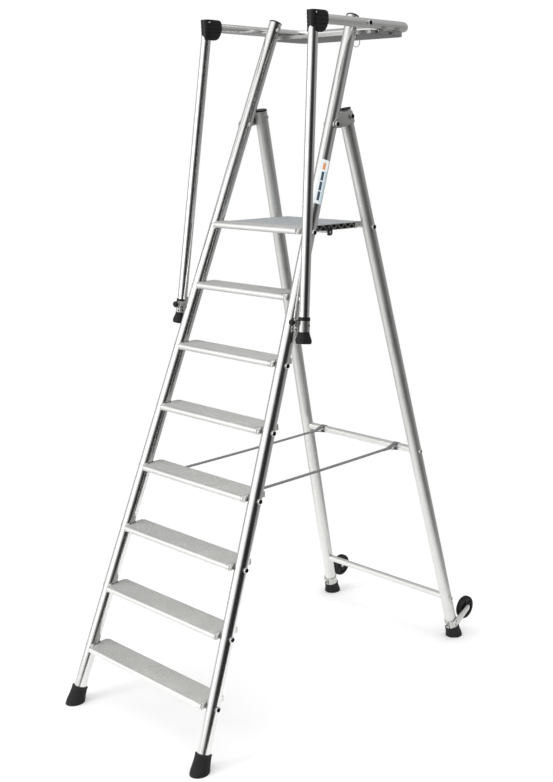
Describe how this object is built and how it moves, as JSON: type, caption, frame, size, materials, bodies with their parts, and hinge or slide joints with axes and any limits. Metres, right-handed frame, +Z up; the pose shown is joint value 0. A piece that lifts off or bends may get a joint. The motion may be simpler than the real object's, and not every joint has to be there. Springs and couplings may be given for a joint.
{
  "type": "platform step ladder",
  "caption": "Folding tube-frame platform ladder with flat treads, guard rail with tool tray, two handrail legs, webbing stays and rear transport wheels.",
  "frame": {"origin": "on the floor, under the middle of the whole ladder's footprint, guard rail and wheels included", "axes": "+X to the climber's right as they climb, -Y the side they climb from, +Z up"},
  "size_m": [0.8742, 1.674, 2.7136],
  "materials": {
    "polished_tube": "bright, lightly brushed along the tube",
    "satin_tube": "matte anodised",
    "satin_fitting": "satin",
    "ribbed_tread": "extruded, fine lengthwise ribs on top",
    "deck_sheet": "finely patterned blue-grey",
    "tray_sheet": "folded sheet, matte",
    "steel_bolt": "zinc-plated",
    "black_plastic": "fine-grained moulding",
    "wheel_plastic": "moulded, satin",
    "black_rubber": "ribbed, matte",
    "webbing": "woven webbing"
  },
  "bodies": {
    "front_frame": {"front_stile_left": "polished_tube", "front_stile_right": "polished_tube", "front_stile_cap_left": "black_plastic", "front_stile_cap_right": "black_plastic", "front_foot_left": "black_rubber", "front_foot_right": "black_rubber", "tread_1": "ribbed_tread", "tread_2": "ribbed_tread", "tread_3": "ribbed_tread", "tread_4": "ribbed_tread", "tread_5": "ribbed_tread", "tread_6": "ribbed_tread", "tread_7": "ribbed_tread", "tie_rod_1": "steel_bolt", "tie_rod_2": "steel_bolt", "tie_rod_3": "steel_bolt", "tie_rod_4": "steel_bolt", "tie_rod_5": "steel_bolt", "tie_rod_6": "steel_bolt", "tie_rod_7": "steel_bolt", "tie_rod_8": "steel_bolt", "hinge_pivot_bolt_left": "steel_bolt", "hinge_pivot_bolt_right": "steel_bolt", "rail_bolt_left": "steel_bolt", "rail_bolt_right": "steel_bolt", "strap_left": "webbing", "strap_right": "webbing"},
    "rear_frame": {"rear_stile_left": "satin_tube", "rear_stile_right": "satin_tube", "rear_stile_cap_left": "black_plastic", "rear_stile_cap_right": "black_plastic", "rear_foot_left": "black_rubber", "rear_foot_right": "black_rubber", "wheel_bracket_left": "satin_fitting", "wheel_bracket_right": "satin_fitting", "rear_cross_bar_upper": "satin_tube", "rear_cross_bar_lower": "satin_tube", "hinge_plate_outer_left": "satin_fitting", "hinge_plate_outer_right": "satin_fitting", "platform_rear_rod": "steel_bolt"},
    "platform": {"platform_nose": "ribbed_tread", "deck": "deck_sheet", "deck_latch_bar": "steel_bolt"},
    "guard_rail": {"guard_rail": "polished_tube", "tray": "tray_sheet"},
    "handrail_left": {"handrail_leg_left": "polished_tube", "corner_block_left": "black_plastic", "handrail_clamp_left": "satin_fitting", "leg_tip_left": "black_rubber"},
    "handrail_right": {"handrail_leg_right": "polished_tube", "corner_block_right": "black_plastic", "handrail_clamp_right": "satin_fitting", "leg_tip_right": "black_rubber"},
    "wheel_left": {"wheel_left": "wheel_plastic"},
    "knob_left": {"knob_left": "black_plastic"},
    "wheel_right": {"wheel_right": "wheel_plastic"},
    "knob_right": {"knob_right": "black_plastic"},
    "lock_ring": {"lock_ring": "steel_bolt"}
  },
  "joints": [
    {"name": "rear_fold", "type": "hinge", "parent": "front_frame", "child": "rear_frame", "pos_m": [0, 0.10896, 2.3], "axis": [-1, 0, 0], "range_deg": [0, 33], "deforming": ["strap_left", "strap_right"]},
    {"name": "platform_fold", "type": "hinge", "parent": "front_frame", "child": "platform", "pos_m": [0, -0.04746, 1.903], "axis": [1, 0, 0], "range_deg": [0, 68]},
    {"name": "guard_rail_fold", "type": "hinge", "parent": "front_frame", "child": "guard_rail", "pos_m": [0, 0.25553, 2.672], "axis": [1, 0, 0], "range_deg": [0, 58]},
    {"name": "handrail_fold_left", "type": "hinge", "parent": "guard_rail", "child": "handrail_left", "pos_m": [-0.29784, -0.02647, 2.672], "axis": [-1, 0, 0], "range_deg": [0, 71]},
    {"name": "handrail_fold_right", "type": "hinge", "parent": "guard_rail", "child": "handrail_right", "pos_m": [0.29784, -0.02647, 2.672], "axis": [-1, 0, 0], "range_deg": [0, 71]},
    {"name": "wheel_spin_left", "type": "hinge", "parent": "rear_frame", "child": "wheel_left", "pos_m": [-0.40204, 0.78356, 0.116], "axis": [1, 0, 0], "continuous": true},
    {"name": "wheel_spin_right", "type": "hinge", "parent": "rear_frame", "child": "wheel_right", "pos_m": [0.40204, 0.78356, 0.116], "axis": [1, 0, 0], "continuous": true},
    {"name": "knob_turn_left", "type": "hinge", "parent": "handrail_left", "child": "knob_left", "pos_m": [-0.34417, -0.20854, 1.587], "axis": [0, -1, 0], "continuous": true},
    {"name": "knob_turn_right", "type": "hinge", "parent": "handrail_right", "child": "knob_right", "pos_m": [0.34417, -0.20854, 1.587], "axis": [0, -1, 0], "continuous": true},
    {"name": "lock_ring_swing", "type": "hinge", "parent": "guard_rail", "child": "lock_ring", "pos_m": [0.20289, 0.30053, 2.628], "axis": [1, 0, 0], "range_deg": [-50, 50]}
  ],
  "couplings": [
    {"joint": "platform_fold", "follows": "rear_fold", "ratio": 2.06},
    {"joint": "handrail_fold_left", "follows": "guard_rail_fold", "ratio": 1.2117},
    {"joint": "handrail_fold_right", "follows": "guard_rail_fold", "ratio": 1.2117}
  ]
}
